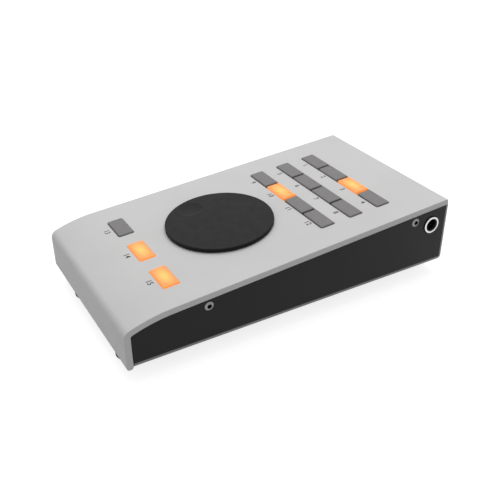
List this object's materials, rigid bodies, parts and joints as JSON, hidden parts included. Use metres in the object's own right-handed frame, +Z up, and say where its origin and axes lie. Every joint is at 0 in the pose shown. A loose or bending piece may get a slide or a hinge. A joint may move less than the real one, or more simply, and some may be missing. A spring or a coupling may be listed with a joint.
{
  "type": "usb remote control",
  "caption": "Desktop wedge remote with a jog wheel and rows of lit keys on a bent light-grey cover over a black chassis, with jack and USB sockets.",
  "frame": {"origin": "on the table, under the middle of the case", "axes": "+X to the user's right, +Y to the back, +Z up"},
  "size_m": [0.1048, 0.1896, 0.0469],
  "materials": {
    "cover_paint": "light grey satin paint",
    "chassis_black": "black fine-textured paint",
    "plain_steel": "plain zinc-plated steel",
    "foot_rubber": "black rubber",
    "board_green": "green solder mask",
    "black_plastic": "black moulded plastic",
    "pale_plastic": "off-white moulded plastic",
    "ribbon_grey": "grey ribbon cable",
    "brass": "brass",
    "wheel_black": "black anodised, fine blasted",
    "hub_metal": "plain machined",
    "jack_nickel": "bright nickel plate",
    "key_grey": "translucent grey, unlit",
    "key_lit": "translucent grey, lit orange from inside",
    "plunger_black": "black moulded plastic"
  },
  "bodies": {
    "case": {"top_cover": "cover_paint", "chassis_tray": "chassis_black", "cover_blocks": "plain_steel", "case_screws": "plain_steel", "foot_screws": "plain_steel", "foot_nuts": "plain_steel", "board_spacers": "plain_steel", "board_screws": "plain_steel", "bushing_nut": "plain_steel", "io_spacers": "plain_steel", "usb_shell": "plain_steel", "feet": "foot_rubber", "key_board": "board_green", "io_board": "board_green", "switch_housings": "black_plastic", "chips": "black_plastic", "encoder_housing": "black_plastic", "jack_body": "black_plastic", "key_lights": "pale_plastic", "usb_core": "pale_plastic", "ribbon_headers": "pale_plastic", "ribbon_cable": "ribbon_grey", "encoder_bushing": "brass", "jack_contacts": "brass", "usb_contacts": "brass", "jack_ferrule": "jack_nickel"},
    "wheel": {"jog_wheel": "wheel_black", "wheel_hub": "hub_metal", "encoder_shaft": "plain_steel"},
    "key_1": {"key_cap_1": "key_grey", "key_plunger_1": "plunger_black"},
    "key_2": {"key_cap_2": "key_grey", "key_plunger_2": "plunger_black"},
    "key_3": {"key_cap_3": "key_lit", "key_plunger_3": "plunger_black"},
    "key_4": {"key_cap_4": "key_grey", "key_plunger_4": "plunger_black"},
    "key_5": {"key_cap_5": "key_grey", "key_plunger_5": "plunger_black"},
    "key_6": {"key_cap_6": "key_grey", "key_plunger_6": "plunger_black"},
    "key_7": {"key_cap_7": "key_grey", "key_plunger_7": "plunger_black"},
    "key_8": {"key_cap_8": "key_grey", "key_plunger_8": "plunger_black"},
    "key_9": {"key_cap_9": "key_grey", "key_plunger_9": "plunger_black"},
    "key_10": {"key_cap_10": "key_lit", "key_plunger_10": "plunger_black"},
    "key_11": {"key_cap_11": "key_grey", "key_plunger_11": "plunger_black"},
    "key_12": {"key_cap_12": "key_grey", "key_plunger_12": "plunger_black"},
    "key_13": {"key_cap_13": "key_grey", "key_plunger_13": "plunger_black"},
    "key_14": {"key_cap_14": "key_lit", "key_plunger_14": "plunger_black"},
    "key_15": {"key_cap_15": "key_lit", "key_plunger_15": "plunger_black"}
  },
  "joints": [
    {"name": "wheel_turn", "type": "hinge", "parent": "case", "child": "wheel", "pos_m": [0, -0.01875, 0.03873], "axis": [0, -0.0743, 0.9972], "continuous": true},
    {"name": "key_1_press", "type": "slide", "parent": "case", "child": "key_1", "axis": [0, 0.0743, -0.9972], "range_m": [0, 0.0006], "stiffness_N_per_m": 1500},
    {"name": "key_2_press", "type": "slide", "parent": "case", "child": "key_2", "axis": [0, 0.0743, -0.9972], "range_m": [0, 0.0006], "stiffness_N_per_m": 1500},
    {"name": "key_3_press", "type": "slide", "parent": "case", "child": "key_3", "axis": [0, 0.0743, -0.9972], "range_m": [0, 0.0006], "stiffness_N_per_m": 1500},
    {"name": "key_4_press", "type": "slide", "parent": "case", "child": "key_4", "axis": [0, 0.0743, -0.9972], "range_m": [0, 0.0006], "stiffness_N_per_m": 1500},
    {"name": "key_5_press", "type": "slide", "parent": "case", "child": "key_5", "axis": [0, 0.0743, -0.9972], "range_m": [0, 0.0006], "stiffness_N_per_m": 1500},
    {"name": "key_6_press", "type": "slide", "parent": "case", "child": "key_6", "axis": [0, 0.0743, -0.9972], "range_m": [0, 0.0006], "stiffness_N_per_m": 1500},
    {"name": "key_7_press", "type": "slide", "parent": "case", "child": "key_7", "axis": [0, 0.0743, -0.9972], "range_m": [0, 0.0006], "stiffness_N_per_m": 1500},
    {"name": "key_8_press", "type": "slide", "parent": "case", "child": "key_8", "axis": [0, 0.0743, -0.9972], "range_m": [0, 0.0006], "stiffness_N_per_m": 1500},
    {"name": "key_9_press", "type": "slide", "parent": "case", "child": "key_9", "axis": [0, 0.0743, -0.9972], "range_m": [0, 0.0006], "stiffness_N_per_m": 1500},
    {"name": "key_10_press", "type": "slide", "parent": "case", "child": "key_10", "axis": [0, 0.0743, -0.9972], "range_m": [0, 0.0006], "stiffness_N_per_m": 1500},
    {"name": "key_11_press", "type": "slide", "parent": "case", "child": "key_11", "axis": [0, 0.0743, -0.9972], "range_m": [0, 0.0006], "stiffness_N_per_m": 1500},
    {"name": "key_12_press", "type": "slide", "parent": "case", "child": "key_12", "axis": [0, 0.0743, -0.9972], "range_m": [0, 0.0006], "stiffness_N_per_m": 1500},
    {"name": "key_13_press", "type": "slide", "parent": "case", "child": "key_13", "axis": [0, 0.0743, -0.9972], "range_m": [0, 0.0006], "stiffness_N_per_m": 1500},
    {"name": "key_14_press", "type": "slide", "parent": "case", "child": "key_14", "axis": [0, 0.0743, -0.9972], "range_m": [0, 0.0006], "stiffness_N_per_m": 1500},
    {"name": "key_15_press", "type": "slide", "parent": "case", "child": "key_15", "axis": [0, 0.0743, -0.9972], "range_m": [0, 0.0006], "stiffness_N_per_m": 1500}
  ]
}
